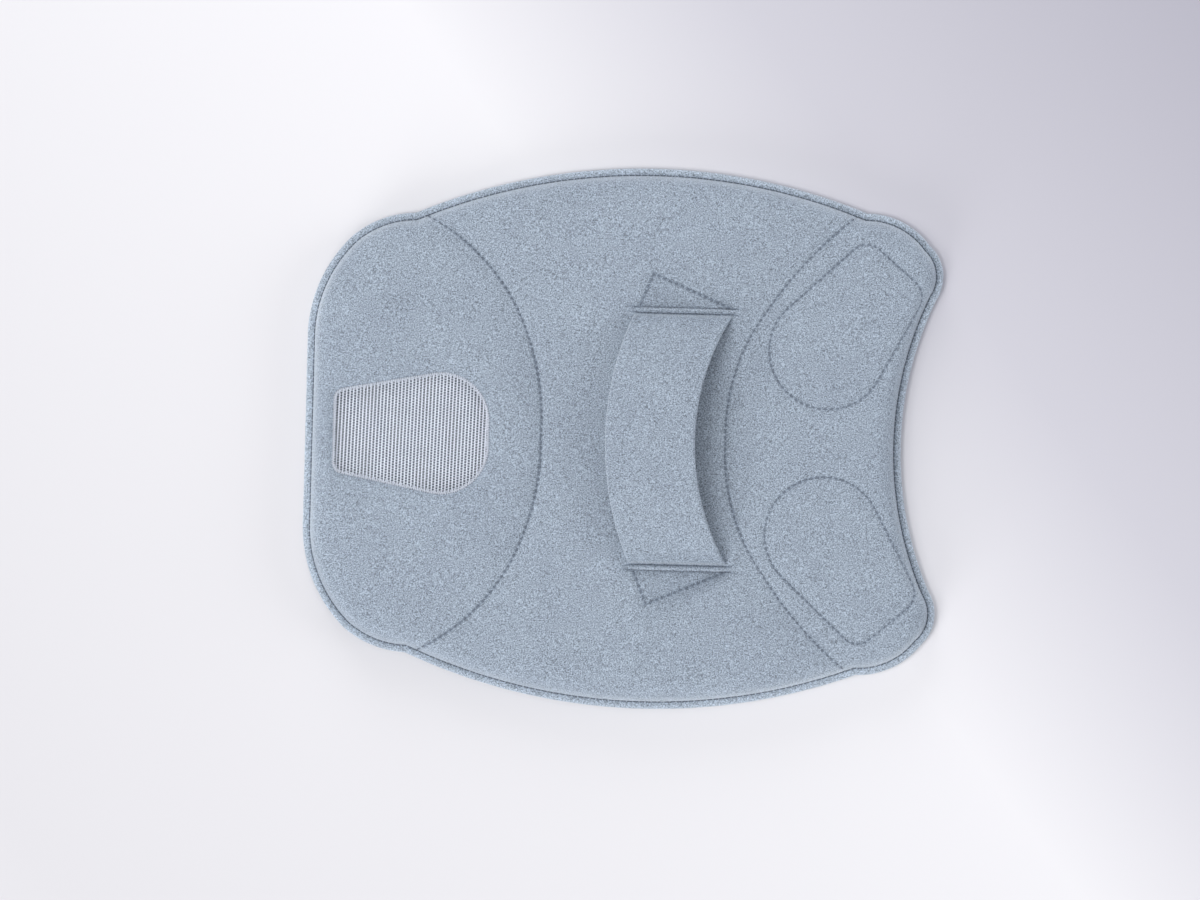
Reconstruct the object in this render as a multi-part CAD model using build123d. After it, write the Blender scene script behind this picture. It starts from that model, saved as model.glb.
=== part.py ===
"""Soft back protector, lying face up on its lining.

Frame: +Z up through the face, +X towards the scooped end, +Y to the left, origin under the middle of
the pad on the plane it lies on. Millimetres.

Three padded sections (vent, centre, scoop) are sewn together along two curved seams and bound round
the edge. Each section is a lining, a foam pad with an impact plate let into its back, and a face panel
sewn down over them. The vent section has a mesh window right through it, the scoop section two quilted
inserts, and a hand strap comes out of two slots in the centre section and arches over it.
"""

import math
import os

from build123d import *

# ---------------------------------------------------------------- outline, upper half (y >= 0)
END_X = 206.4  # both ends of the pad
SIDE_Y = 58.0  # where the straight vent end meets its shoulder
SHOULDER = (-178.0, 128.0)  # between the two arcs of the vent end shoulder
VENT_NOTCH = (-138.0, 143.2)  # where the vent seam reaches the edge
SCOOP_NOTCH = (156.0, 150.4)  # where the scoop seam reaches the edge
HIP = (197.5, 130.3)  # start of the scoop corner
CORNER_END = (202.6, 95.5)  # its end, start of the scoop
SCOOP = (181.7, 0.0)  # deepest point of the scoop
HALF_OUTLINE = (  # arcs as start, point on it, end
    ((-END_X, SIDE_Y), (-199.9, 95.5), SHOULDER),
    (SHOULDER, (-160.0, 138.7), VENT_NOTCH),
    (VENT_NOTCH, (12.0, 175.9), SCOOP_NOTCH),
    (SCOOP_NOTCH, (176.5, 146.5), HIP),
    (HIP, (END_X, 113.5), CORNER_END),
)

# ---------------------------------------------------------------- seams between the sections
VENT_SEAM_TIP = (-52.3, 0.0)
VENT_SEAM = (  # from the tip outwards, one point on each arc and its end
    ((-56.0, 42.3), (-71.0, 84.0)),
    ((-93.5, 114.5), (-141.0, 146.0)),
)
SCOOP_SEAM_TIP = (67.0, 0.0)
SCOOP_SEAM = (
    ((72.5, 45.0), (92.3, 85.0)),
    ((118.0, 118.5), (160.0, 156.0)),
)
BEYOND = 260.0  # a length past the outline, for the cutting regions

# ---------------------------------------------------------------- layers, as heights
BELLY = 1.2  # the lining's belly under its flange
LINING_TOP = 2.6
FLANGE_TOP = 4.0  # the face panel's sewn flange
FACE_TOP = 21.0
FACE_THICK = 1.5
EDGE_ROLL = 9.0  # radius of the face panel's upper edge
ROLL_ROOM = 0.6  # a rolled slab's corners are rounder than its roll by this much
PLATE_THICK = 6.0
FIT = 0.2  # room between layers that are only stacked
CLOSE_FIT = 0.1  # room between pieces that are sewn or sleeved together
BINDING_BOTTOM, BINDING_TOP = 0.2, 5.4
BINDING_LIP = 0.9

# ---------------------------------------------------------------- insets from the outline and the seams
BINDING_WIDTH = 4.6
BINDING_WEB = 1.3
FLANGE_INSET = 1.5
BELLY_INSET = 7.0
FACE_INSET = 6.0
SEAM_INSET = 3.0  # every section stops this far short of its seam
PLATE_INSET = 20.0
PLATE_SEAM_INSET = 12.0
PLATE_MESH_GAP = 1.0  # between the vent's plate and its meshes
SEAM_TAPE_WIDTH = 2.0
SEAM_TAPE_BOTTOM, SEAM_TAPE_TOP = 0.4, 4.4
THREAD = 0.8  # diameter of the sewing thread

# ---------------------------------------------------------------- window, inserts and strap
WINDOW = ((-187.5, -26.5), (-187.5, 26.5), (-86.3, 46.0), (-86.3, -46.0))
WINDOW_RADII = (7.0, 7.0, 31.0, 31.0)
MESH_MARGIN = 5.0  # how far each mesh runs past the window
MESH_THICK = 1.2
INSERT = (  # upper one, before its corners are rounded
    (155.4, 133.6),
    (195.4, 98.8),
    (144.4, 2.7),
    (73.6, 57.2),
)
INSERT_RADII = (12.0, 13.0, 37.5, 37.5)
INSERT_DEPTH = 9.0
INSERT_SHORT = 3.0  # each insert stops this far inside its quilting line
INSERT_CROWN = 2.5
HEX_PITCH = 22.0
HEX_ACROSS = 9.0

STRAP_THICK = 4.0
STRAP_LOW = ((6.0, 81.4), (-11.0, 0.0), (6.0, -81.4))  # strap edge nearer the vent, seen from above
STRAP_HIGH = ((70.0, 81.4), (46.8, 0.0), (70.0, -81.4))  # strap edge nearer the scoop
STRAP_PIVOT_Y = 77.9  # where the strap's ends bend up
STRAP_GAP = 0.3  # between the strap's roots and the face
STRAP_PIVOT_Z = FACE_TOP + STRAP_GAP + STRAP_THICK / 2
STRAP_RISE = 18.0  # from the pivots to the middle, along the strap's centreline
STRAP_POWER = 2.6  # how flat the top of the arch is
BAND_END_Y = 58.0
STRAP_TIP_Y = 62.0  # inner end of each hinged strap end
CORE_THICK = 1.6
CORE_INSET = 4.0
SLOT_Y = 80.8  # middle of the slot that the strap comes out of
SLOT_WIDTH = 1.8
SLOT_X = (8.6, 69.2)
LIP_RISE = 2.0  # height of the strap's fold over the face, in the slot
LIP_SHORT = 1.0  # how much shorter the fold is than its slot
WELT_Y = (81.7, 84.8)
WELT_X = (7.4, 70.4)
WELT_RISE = 1.0
WELT_ROUND = 0.6  # radius of its upper edges
TAB = ((9.4, 80.1), (9.4, 85.8), (18.0, 107.1), (68.7, 85.3), (68.7, 80.1))
TAB_THICK = 1.3


# ---------------------------------------------------------------- small helpers
def mirrored(points):
    """The same points on the other side of the pad."""
    return [(x, -y) for x, y in points]


def arc(points):
    return ThreePointArc(*points)


def face_from(lines):
    """The flat region inside a closed run of lines."""
    return make_face([edge for line in lines for edge in line.edges()])


def grown(region, amount):
    """A flat region made larger, or smaller by a negative amount."""
    return offset(region, amount=amount, kind=Kind.ARC) if amount else region


def slab(region, low, high):
    return Pos(0, 0, low) * extrude(region, high - low)


def softened(region, radius):
    """The region with its outward corners rounded."""
    return grown(grown(region, -radius), radius)


def cap(region, low, high, roll):
    """A slab whose upper edges are rolled over."""
    body = slab(softened(region, roll + ROLL_ROOM), low, high)
    top = body.faces().sort_by(Axis.Z)[-1]
    return fillet(top.outer_wire().edges(), roll)


def rounded(points, radii):
    """A closed outline with a rounded corner at each point."""
    return make_face(FilletPolyline(*points, radius=list(radii), close=True))


# ---------------------------------------------------------------- flat regions
def outline():
    """The whole pad, seen from above."""
    upper = [arc(a) for a in HALF_OUTLINE]
    lower = [arc(mirrored(a)) for a in HALF_OUTLINE]
    side = Line((-END_X, SIDE_Y), (-END_X, -SIDE_Y))
    scoop = arc((CORNER_END, SCOOP, (CORNER_END[0], -CORNER_END[1])))
    return face_from([side, scoop, *upper, *lower])


def seam_edges(tip, arcs):
    """One seam from edge to edge, as arcs, and its two ends."""
    edges = []
    for side in (1, -1):
        start = tip
        for through, end in arcs:
            points = [(x, side * y) for x, y in (start, through, end)]
            edges.append(arc(points))
            start = end
    x, y = arcs[-1][1]
    return edges, (x, y), (x, -y)


def beyond_seam(tip, arcs, side):
    """Everything past a seam, on the side of -X or +X."""
    edges, left, right = seam_edges(tip, arcs)
    far = side * BEYOND
    around = Polyline(left, (left[0], BEYOND), (far, BEYOND), (far, -BEYOND), (right[0], -BEYOND), right)
    return face_from([*edges, around])


PAD = outline()
VENT_SIDE = beyond_seam(VENT_SEAM_TIP, VENT_SEAM, -1)
SCOOP_SIDE = beyond_seam(SCOOP_SEAM_TIP, SCOOP_SEAM, 1)
SECTIONS = ("vent", "centre", "scoop")


def section(name, edge_inset, seam_inset):
    """One section's region, short of the outline and of its seams."""
    inner = grown(PAD, -edge_inset)
    if name == "vent":
        return inner & grown(VENT_SIDE, -seam_inset)
    if name == "scoop":
        return inner & grown(SCOOP_SIDE, -seam_inset)
    return inner - grown(VENT_SIDE, seam_inset) - grown(SCOOP_SIDE, seam_inset)


def window(extra=0.0):
    return grown(rounded(WINDOW, WINDOW_RADII), extra)


def insert_region(side, extra=0.0):
    points = [(x, side * y) for x, y in INSERT]
    return grown(rounded(points, INSERT_RADII), extra)


def tab_region(side, extra=0.0):
    region = make_face(Polyline(*[(x, side * y) for x, y in TAB], close=True))
    return grown(region, extra)


def strap_plan(inset=0.0):
    """The strap seen from above, from slot to slot."""
    ends = [Line(STRAP_LOW[i], STRAP_HIGH[i]) for i in (0, 2)]
    return grown(face_from([arc(STRAP_LOW), arc(STRAP_HIGH), *ends]), -inset)


# ---------------------------------------------------------------- pieces of each section
def lining(name):
    belly = slab(section(name, BELLY_INSET, SEAM_INSET), 0, BELLY)
    sheet = belly + slab(section(name, FLANGE_INSET, SEAM_INSET), BELLY, LINING_TOP)
    return sheet - slab(window(), -1, LINING_TOP + 1) if name == "vent" else sheet


def face_panel(name):
    """The sewn cover: a flange, a rolled cap, and the hollow for the foam."""
    flange = slab(section(name, FLANGE_INSET, SEAM_INSET), LINING_TOP, FLANGE_TOP)
    outer = cap(section(name, FACE_INSET, SEAM_INSET), LINING_TOP, FACE_TOP, EDGE_ROLL)
    hollow = cap(
        section(name, FACE_INSET + FACE_THICK, SEAM_INSET + FACE_THICK),
        LINING_TOP - 1,
        FACE_TOP - FACE_THICK,
        EDGE_ROLL - FACE_THICK,
    )
    panel = flange + outer - hollow
    if name == "vent":
        panel -= slab(window(), FACE_TOP - 2 * FACE_THICK - 1, FACE_TOP + 1)
    if name == "centre":
        for side in (1, -1):
            middle = (sum(SLOT_X) / 2, side * SLOT_Y, FACE_TOP)
            panel -= Pos(*middle) * Box(SLOT_X[1] - SLOT_X[0], SLOT_WIDTH, 2 * FACE_THICK + 2)
    return panel


def foam_pad(name):
    """The foam, with a recess for its impact plate and for what is let into its top."""
    room = FACE_THICK + FIT
    top = FACE_TOP - room
    pad = cap(
        section(name, FACE_INSET + room, SEAM_INSET + room), LINING_TOP + FIT, top, EDGE_ROLL - room
    )
    plate_top = LINING_TOP + 2 * FIT + PLATE_THICK
    pad -= slab(section(name, PLATE_INSET - FIT, PLATE_SEAM_INSET - FIT), LINING_TOP, plate_top)
    if name == "vent":
        pad -= slab(window(), LINING_TOP - 1, top + 1)
        pad -= slab(window(MESH_MARGIN + FIT), top - MESH_THICK, top + 1)
        pad -= slab(window(MESH_MARGIN + FIT), LINING_TOP - 1, LINING_TOP + MESH_THICK + FIT)
    if name == "centre":
        for side in (1, -1):
            pad -= slab(tab_region(side, FIT), top - TAB_THICK, top + 1)
    if name == "scoop":
        for side in (1, -1):
            pad -= slab(insert_region(side, FIT - INSERT_SHORT), top - INSERT_DEPTH - FIT, top + 1)
    return pad


def fits(region, x, y, reach):
    """Whether a circle of points round a place all lie inside a region."""
    turns = [math.radians(30 * k) for k in range(12)]
    ring = [(x + reach * math.cos(t), y + reach * math.sin(t), 0) for t in turns]
    return all(any(face.is_inside(p) for face in region.faces()) for p in ring)


def hexagon_grid(region):
    """Hexagonal perforations well inside a region, in staggered rows."""
    box = region.bounding_box()
    row_step = HEX_PITCH * math.sqrt(3) / 2
    rows = int(box.size.X / row_step) + 1
    columns = int(box.size.Y / HEX_PITCH / 2) + 1
    places = [
        (box.min.X + i * row_step, (j + 0.5 * (i % 2)) * HEX_PITCH)
        for i in range(rows + 1)
        for j in range(-columns, columns + 1)
    ]
    hexagon = RegularPolygon(HEX_ACROSS / 2, 6)
    return [Pos(x, y) * hexagon for x, y in places if fits(region, x, y, HEX_ACROSS)]


def impact_plate(name):
    """The perforated plate let into the back of the foam."""
    region = section(name, PLATE_INSET, PLATE_SEAM_INSET)
    if name == "vent":
        region -= window(MESH_MARGIN + PLATE_MESH_GAP)
    for hole in hexagon_grid(region):
        region -= hole
    return slab(region, LINING_TOP + FIT, LINING_TOP + FIT + PLATE_THICK)


def binding(name):
    """The tape folded over the edge: a channel with two lips."""
    ring = section(name, 0, SEAM_INSET) - section(name, BINDING_WIDTH, SEAM_INSET)
    slot = section(name, BINDING_WEB, SEAM_INSET - 1)
    channel = slab(ring, BINDING_BOTTOM, BINDING_TOP)
    return channel - slab(slot, BINDING_BOTTOM + BINDING_LIP, FLANGE_TOP + FIT)


def edge_thread(name):
    """The stitch line along the inner edge of the binding."""
    inset = BINDING_WIDTH + THREAD / 2 + CLOSE_FIT
    ring = section(name, inset - THREAD / 2, SEAM_INSET + 1)
    ring -= section(name, inset + THREAD / 2, SEAM_INSET - 1)
    return slab(ring, FLANGE_TOP, FLANGE_TOP + THREAD)


def seam_band(side, width, edge_inset):
    """A band of even width that follows a seam."""
    return (grown(side, width / 2) - grown(side, -width / 2)) & grown(PAD, -edge_inset)


def seam_tape(side):
    """The strip in a seam that joins the linings of two sections and bends with them."""
    return slab(seam_band(side, SEAM_TAPE_WIDTH, BINDING_WIDTH), SEAM_TAPE_BOTTOM, SEAM_TAPE_TOP)


def seam_thread(side):
    return slab(seam_band(side, THREAD, BINDING_WIDTH + 1), SEAM_TAPE_TOP, SEAM_TAPE_TOP + THREAD)


# ---------------------------------------------------------------- vent meshes and corner inserts
def mesh(low):
    return slab(window(MESH_MARGIN), low, low + MESH_THICK)


def corner_insert(side):
    """A firmer insert that fills its recess in the foam."""
    top = FACE_TOP - FACE_THICK - FIT
    return cap(insert_region(side, -INSERT_SHORT), top - INSERT_DEPTH, top, INSERT_CROWN)


def insert_thread():
    """The quilting line round each insert, on the face."""
    lines = []
    for side in (1, -1):
        ring = insert_region(side, THREAD / 2) - insert_region(side, -THREAD / 2)
        lines.append(slab(ring, FACE_TOP, FACE_TOP + THREAD / 2))
    return lines


# ---------------------------------------------------------------- strap
def strap_height(y):
    """Height of the strap's centreline."""
    share = min(1.0, abs(y) / STRAP_PIVOT_Y)
    return STRAP_PIVOT_Z + STRAP_RISE * (1 - share**STRAP_POWER)


def arch(half_length, thick):
    """The strap's side view, as a solid wider than the strap."""
    steps = [half_length * k / 4 for k in range(-4, 5)]
    over = Spline(*[(0, y, strap_height(y) + thick / 2) for y in steps])
    under = Spline(*[(0, y, strap_height(y) - thick / 2) for y in steps])
    ends = [Line(over @ k, under @ k) for k in (0, 1)]
    profile = face_from([over, under, *ends])
    return Pos(-BEYOND / 2, 0, 0) * extrude(profile, BEYOND, dir=(1, 0, 0))


def strap_core():
    return arch(BAND_END_Y, CORE_THICK) & slab(strap_plan(CORE_INSET), 0, BEYOND)


def strap_cover():
    """The fabric sleeve round the core, open at both ends of the free band."""
    sleeve = arch(BAND_END_Y, STRAP_THICK) & slab(strap_plan(), 0, BEYOND)
    tunnel = arch(BAND_END_Y + 1, CORE_THICK + CLOSE_FIT)
    tunnel &= slab(strap_plan(CORE_INSET - CLOSE_FIT), 0, BEYOND)
    return sleeve - tunnel


def strap_end(side):
    """The stretch of strap between a slot and the free band: it bends up from a rounded root."""
    rise = strap_height(STRAP_TIP_Y) - STRAP_PIVOT_Z
    run = STRAP_PIVOT_Y - STRAP_TIP_Y
    slope = math.degrees(math.atan2(rise, run))
    length = math.hypot(rise, run)
    bar = Pos(0, -length / 2, 0) * Box(BEYOND, length, STRAP_THICK)
    root = Rot(0, 90, 0) * Cylinder(STRAP_THICK / 2, BEYOND)
    foot = Pos(0, STRAP_PIVOT_Y, FACE_TOP) * Box(
        BEYOND, STRAP_THICK, STRAP_PIVOT_Z - FACE_TOP, align=(Align.CENTER, Align.CENTER, Align.MIN)
    )
    piece = foot + Pos(0, STRAP_PIVOT_Y, STRAP_PIVOT_Z) * Rot(-slope, 0, 0) * (bar + root)
    piece &= slab(strap_plan(), 0, BEYOND)
    return piece if side > 0 else mirror(piece, Plane.XZ)


def strap_tab(side):
    """The sewn-down end of the strap, under the face, with its lip up in the slot."""
    top = FACE_TOP - FACE_THICK - FIT
    height = FACE_TOP + LIP_RISE - top
    lip = Pos(sum(SLOT_X) / 2, side * SLOT_Y, top + height / 2) * Box(
        SLOT_X[1] - SLOT_X[0] - LIP_SHORT, SLOT_WIDTH - 2 * FIT, height
    )
    return slab(tab_region(side), top - TAB_THICK + CLOSE_FIT, top) + lip


def slot_welt(side):
    """The folded lip of fabric over a strap slot."""
    low, high = WELT_Y
    box = Pos(sum(WELT_X) / 2, side * (low + high) / 2, FACE_TOP + WELT_RISE / 2)
    welt = box * Box(WELT_X[1] - WELT_X[0], high - low, WELT_RISE)
    return fillet(welt.faces().sort_by(Axis.Z)[-1].edges(), WELT_ROUND)


def tab_thread():
    """The triangle of stitches that holds each strap end, on the face."""
    lines = []
    for side in (1, -1):
        corners = [(x, side * y) for x, y in TAB[1:4]]
        band = trace(Polyline(*corners), THREAD)
        lines.append(slab(band, FACE_TOP, FACE_TOP + THREAD / 2))
    return lines


# ---------------------------------------------------------------- all nodes
def nodes():
    made = {}
    for name in SECTIONS:
        made[f"{name}_lining"] = lining(name)
        made[f"{name}_impact_plate"] = impact_plate(name)
        made[f"{name}_foam_pad"] = foam_pad(name)
        made[f"{name}_face_panel"] = face_panel(name)
        made[f"{name}_edge_thread"] = edge_thread(name)
    for name in ("vent", "scoop"):
        made[f"{name}_edge_binding"] = binding(name)
    for piece in binding("centre").solids():
        side = "left" if piece.center().Y > 0 else "right"
        made[f"centre_edge_binding_{side}"] = piece
    for name, side in (("vent", VENT_SIDE), ("scoop", SCOOP_SIDE)):
        made[f"{name}_seam_tape"] = seam_tape(side)
        made[f"{name}_seam_thread"] = seam_thread(side)
    made["vent_mesh_front"] = mesh(FACE_TOP - FACE_THICK - FIT - MESH_THICK)
    made["vent_mesh_back"] = mesh(LINING_TOP)
    made["corner_insert_thread"] = insert_thread()
    made["strap_tab_thread"] = tab_thread()
    made["strap_cover"] = strap_cover()
    made["strap_core"] = strap_core()
    for side, word in ((1, "left"), (-1, "right")):
        made[f"corner_insert_{word}"] = corner_insert(side)
        made[f"strap_end_{word}"] = strap_end(side)
        made[f"strap_tab_{word}"] = strap_tab(side)
        made[f"strap_slot_welt_{word}"] = slot_welt(side)
    return made


def main():
    os.makedirs("parts", exist_ok=True)
    for name, shape in nodes().items():
        solids = [s for item in (shape if isinstance(shape, list) else [shape]) for s in item.solids()]
        export_step(solids[0] if len(solids) == 1 else Compound(solids), f"parts/{name}.step")
        print(f"{name}: {len(solids)} solids")


main()
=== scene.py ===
"""Looks of a soft back protector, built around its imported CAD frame.

Lengths are in mm until a mesh is made, and in metres for lights, floor and camera.
"""

import math

import bmesh
import bpy
import numpy as np
from mathutils import Matrix, Vector
from mathutils.geometry import delaunay_2d_cdt
from mathutils.kdtree import KDTree


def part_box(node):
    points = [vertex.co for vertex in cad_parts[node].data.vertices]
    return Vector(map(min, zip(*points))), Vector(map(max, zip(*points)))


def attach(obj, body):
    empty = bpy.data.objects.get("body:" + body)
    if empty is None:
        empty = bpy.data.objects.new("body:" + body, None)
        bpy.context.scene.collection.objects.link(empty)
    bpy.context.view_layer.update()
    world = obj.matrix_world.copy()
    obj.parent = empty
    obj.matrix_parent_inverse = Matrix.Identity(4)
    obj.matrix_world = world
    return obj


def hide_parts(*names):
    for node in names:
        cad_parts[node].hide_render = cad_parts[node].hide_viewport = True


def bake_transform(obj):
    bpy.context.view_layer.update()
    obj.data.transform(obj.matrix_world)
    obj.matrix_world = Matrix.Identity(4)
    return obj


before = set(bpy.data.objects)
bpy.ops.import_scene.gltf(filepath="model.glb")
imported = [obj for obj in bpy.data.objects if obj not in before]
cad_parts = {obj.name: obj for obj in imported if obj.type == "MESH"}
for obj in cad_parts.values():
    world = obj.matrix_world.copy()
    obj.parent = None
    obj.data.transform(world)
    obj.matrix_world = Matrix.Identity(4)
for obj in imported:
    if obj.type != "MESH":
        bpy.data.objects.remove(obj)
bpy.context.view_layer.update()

MM = 0.001
RANDOM = np.random.default_rng(7)

# ---------------------------------------------------------------- outline and seams, upper half (y >= 0)
END_X = 206.4
SIDE_Y = 58.0
SHOULDER = (-178.0, 128.0)
VENT_NOTCH = (-138.0, 143.2)
SCOOP_NOTCH = (156.0, 150.4)
HIP = (197.5, 130.3)
CORNER_END = (202.6, 95.5)
SCOOP = (181.7, 0.0)
HALF_OUTLINE = (
    ((-END_X, SIDE_Y), (-199.9, 95.5), SHOULDER),
    (SHOULDER, (-160.0, 138.7), VENT_NOTCH),
    (VENT_NOTCH, (12.0, 175.9), SCOOP_NOTCH),
    (SCOOP_NOTCH, (176.5, 146.5), HIP),
    (HIP, (END_X, 113.5), CORNER_END),
)
VENT_SEAM = (
    ((-52.3, 0.0), (-56.0, 42.3), (-71.0, 84.0)),
    ((-71.0, 84.0), (-93.5, 114.5), (-141.0, 146.0)),
)
SCOOP_SEAM = (
    ((67.0, 0.0), (72.5, 45.0), (92.3, 85.0)),
    ((92.3, 85.0), (118.0, 118.5), (160.0, 156.0)),
)
WINDOW = ((-187.5, -26.5), (-187.5, 26.5), (-86.3, 46.0), (-86.3, -46.0))
WINDOW_RADII = (7.0, 7.0, 31.0, 31.0)
INSERT = ((155.4, 133.6), (195.4, 98.8), (144.4, 2.7), (73.6, 57.2))
INSERT_RADII = (12.0, 13.0, 37.5, 37.5)
TAB = ((9.4, 85.6), (18.0, 107.1), (68.7, 85.3))

# ---------------------------------------------------------------- heights and widths
FACE_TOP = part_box("centre_face_panel")[1].z / MM
PAD_TOP = FACE_TOP - 0.7  # the puffed fabric's mean height
BINDING_WIDTH = 4.6
BINDING_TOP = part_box("vent_edge_binding")[1].z / MM
ROLL = 10.5  # width of the rolled edge
FACE_THICK = 0.9
STITCH_PITCH = 4.0
STITCH_LENGTH = 2.9
STITCH_RADIUS = 0.40
SPLIT_X = 30.0  # the centre section's pieces are halved here, because a piece bends at one joint only

VENT_BEND = ("centre_section", "vent_section", (-54 * MM, 0, 0), (-142 * MM, 0, 0))
SCOOP_BEND = ("centre_section", "scoop_section", (74 * MM, 0, 0), (152 * MM, 0, 0))

STRAP_LOW = ((6.0, 81.4), (-11.0, 0.0), (6.0, -81.4))
STRAP_HIGH = ((70.0, 81.4), (46.8, 0.0), (70.0, -81.4))
STRAP_PIVOT_Y = 77.9  # where the strap's middle is back at the height of its feet
STRAP_THICK = 4.2
STRAP_POWER = 2.6  # of the curve the strap rises in
SLOT_Y = 80.8
SIDES = (("left", 1), ("right", -1))
WELT_Y = (81.7, 85.2)
WELT_X = (7.4, 70.4)


# ---------------------------------------------------------------- flat geometry
LINE_STEP = 2.0


def arc(a, through, b):
    """Points along the arc from a through a point to b, the last one left out."""
    a, m, b = (complex(*p) for p in (a, through, b))
    w = (b - a) / (m - a)
    centre = a + (m - a) * (w - abs(w) ** 2) / (2j * w.imag)
    radius = abs(a - centre)
    start, middle, end = (math.atan2((p - centre).imag, (p - centre).real) for p in (a, m, b))
    sweep = (end - start) % (2 * math.pi)
    if (middle - start) % (2 * math.pi) > sweep:
        sweep -= 2 * math.pi
    n = max(2, round(abs(sweep) * radius / LINE_STEP))
    angles = start + sweep * np.arange(n) / n
    return (centre.real, centre.imag) + radius * np.column_stack([np.cos(angles), np.sin(angles)])


def straight(a, b, step=LINE_STEP):
    n = max(1, round(math.dist(a, b) / step))
    t = np.arange(n)[:, None] / n
    return np.array(a) * (1 - t) + np.array(b) * t


def flip(points):
    return [(x, -y) for x, y in points]


def outline_loop():
    """The pad's edge, anticlockwise from the middle of the scoop."""
    scoop = ((CORNER_END[0], -CORNER_END[1]), SCOOP, CORNER_END)
    parts = [arc(*scoop)]
    parts += [arc(*a[::-1]) for a in HALF_OUTLINE[::-1]]
    parts += [straight((-END_X, SIDE_Y), (-END_X, -SIDE_Y))]
    parts += [arc(*flip(a)) for a in HALF_OUTLINE]
    return np.concatenate(parts)


def seam_line(arcs):
    """One seam from -Y to +Y."""
    upper = np.concatenate([arc(*a) for a in arcs] + [np.array([arcs[-1][2]])])
    return np.concatenate([(upper * (1, -1))[:0:-1], upper])


def rounded_loop(corners, radii):
    """A closed outline whose corners are rounded."""
    parts, ends, n = [], [], len(corners)
    for i, r in enumerate(radii):
        p, before, after = (np.array(corners[k % n], float) for k in (i, i - 1, i + 1))
        u, v = before - p, after - p
        u, v = u / np.linalg.norm(u), v / np.linalg.norm(v)
        half = math.acos(float(u @ v)) / 2
        reach = r / math.tan(half)
        middle = (u + v) / np.linalg.norm(u + v) * (r / math.sin(half) - r)
        ends.append((p + u * reach, p + middle, p + v * reach))
    for i in range(n):
        parts += [arc(*ends[i]), straight(ends[i][2], ends[(i + 1) % n][0])]
    return np.concatenate(parts)


def resampled(line, step, closed=False):
    """Evenly spaced points, unit tangents and distances along a line."""
    pts = np.vstack([line, line[:1]]) if closed else line
    lengths = np.r_[0, np.cumsum(np.linalg.norm(np.diff(pts, axis=0), axis=1))]
    n = max(2, round(lengths[-1] / step))
    at = np.linspace(0, lengths[-1], n + 1)
    at = at[:-1] if closed else at
    out = np.column_stack([np.interp(at, lengths, pts[:, k]) for k in (0, 1)])
    ahead = np.roll(out, -1, 0) - np.roll(out, 1, 0) if closed else np.gradient(out, axis=0)
    return out, ahead / np.linalg.norm(ahead, axis=1)[:, None], at


CHUNK = 4000  # points handled at once, to spare memory


def near(points, line, closed=False):
    """Distance from each point to a line, and how far along the line its nearest place is."""
    b = np.roll(line, -1, 0) if closed else line[1:]
    a = line[: len(b)]
    ab = b - a
    sizes = np.linalg.norm(ab, axis=1)
    starts = np.r_[0, np.cumsum(sizes)[:-1]]
    far, along = np.empty(len(points)), np.empty(len(points))
    for k in range(0, len(points), CHUNK):
        p = points[k : k + CHUNK, None, :] - a
        t = np.clip((p * ab).sum(2) / sizes**2, 0, 1)
        d = ((p - t[..., None] * ab) ** 2).sum(2)
        best = d.argmin(1)
        rows = np.arange(len(best))
        far[k : k + CHUNK] = np.sqrt(d[rows, best])
        along[k : k + CHUNK] = starts[best] + t[rows, best] * sizes[best]
    return far, along


def distance(points, line, closed=False):
    return near(points, line, closed)[0]


def sewing(points, line, closed=False):
    """Distance to a line of stitches, and a wave: 1 halfway along each stitch, -1 in the gaps."""
    far, along = near(points, line, closed)
    pts = np.vstack([line, line[:1]]) if closed else line
    length = np.linalg.norm(np.diff(pts, axis=0), axis=1).sum()
    return far, -np.cos(2 * math.pi * along * (length // STITCH_PITCH) / length)


def inside(points, loop):
    """Whether each point is inside a closed loop."""
    x, y = points[:, 0], points[:, 1]
    found = np.zeros(len(points), bool)
    for a, b in zip(loop, np.roll(loop, -1, 0)):
        crosses = (a[1] > y) != (b[1] > y)
        if crosses.any():
            found ^= crosses & (x < (b[0] - a[0]) * (y - a[1]) / (b[1] - a[1] + 1e-12) + a[0])
    return found


OUTLINE = outline_loop()
SEAMS = {"vent": seam_line(VENT_SEAM), "scoop": seam_line(SCOOP_SEAM)}
WINDOW_LOOP = rounded_loop(WINDOW, WINDOW_RADII)
INSERT_LOOPS = [rounded_loop(INSERT, INSERT_RADII), rounded_loop(flip(INSERT), INSERT_RADII)]
TAB_LINES = [np.vstack([straight(c[i], c[i + 1]) for i in (0, 1)] + [[c[2]]]) for c in (TAB, flip(TAB))]
WELT_ENDS = [((WELT_X[0], s * y), (WELT_X[1], s * y)) for s in (1, -1) for y in WELT_Y]
WELT_LINES = [np.vstack([straight(a, b), [b]]) for a, b in WELT_ENDS]


def seam_x(name, y):
    """Where a seam crosses each y."""
    half = SEAMS[name][len(SEAMS[name]) // 2 :]
    return np.interp(np.abs(y), half[:, 1], half[:, 0])


def smooth(t):
    t = np.clip(t, 0, 1)
    return t * t * (3 - 2 * t)


def bell(d, width):
    """1 on a line, falling smoothly to 0 beside it."""
    return np.exp(-((d / width) ** 2))


def waves(points, length, seed):
    """Smooth waves between about -1 and 1, the same on every run."""
    draw = np.random.default_rng(seed)
    total = np.zeros(len(points))
    count = 9
    for _ in range(count):
        a = draw.uniform(0, 2 * math.pi)
        k = 2 * math.pi / (length * draw.uniform(0.7, 1.5))
        way = k * np.array([math.cos(a), math.sin(a)])
        total += np.sin(points @ way + draw.uniform(0, 2 * math.pi))
    return total / math.sqrt(count)


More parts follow.
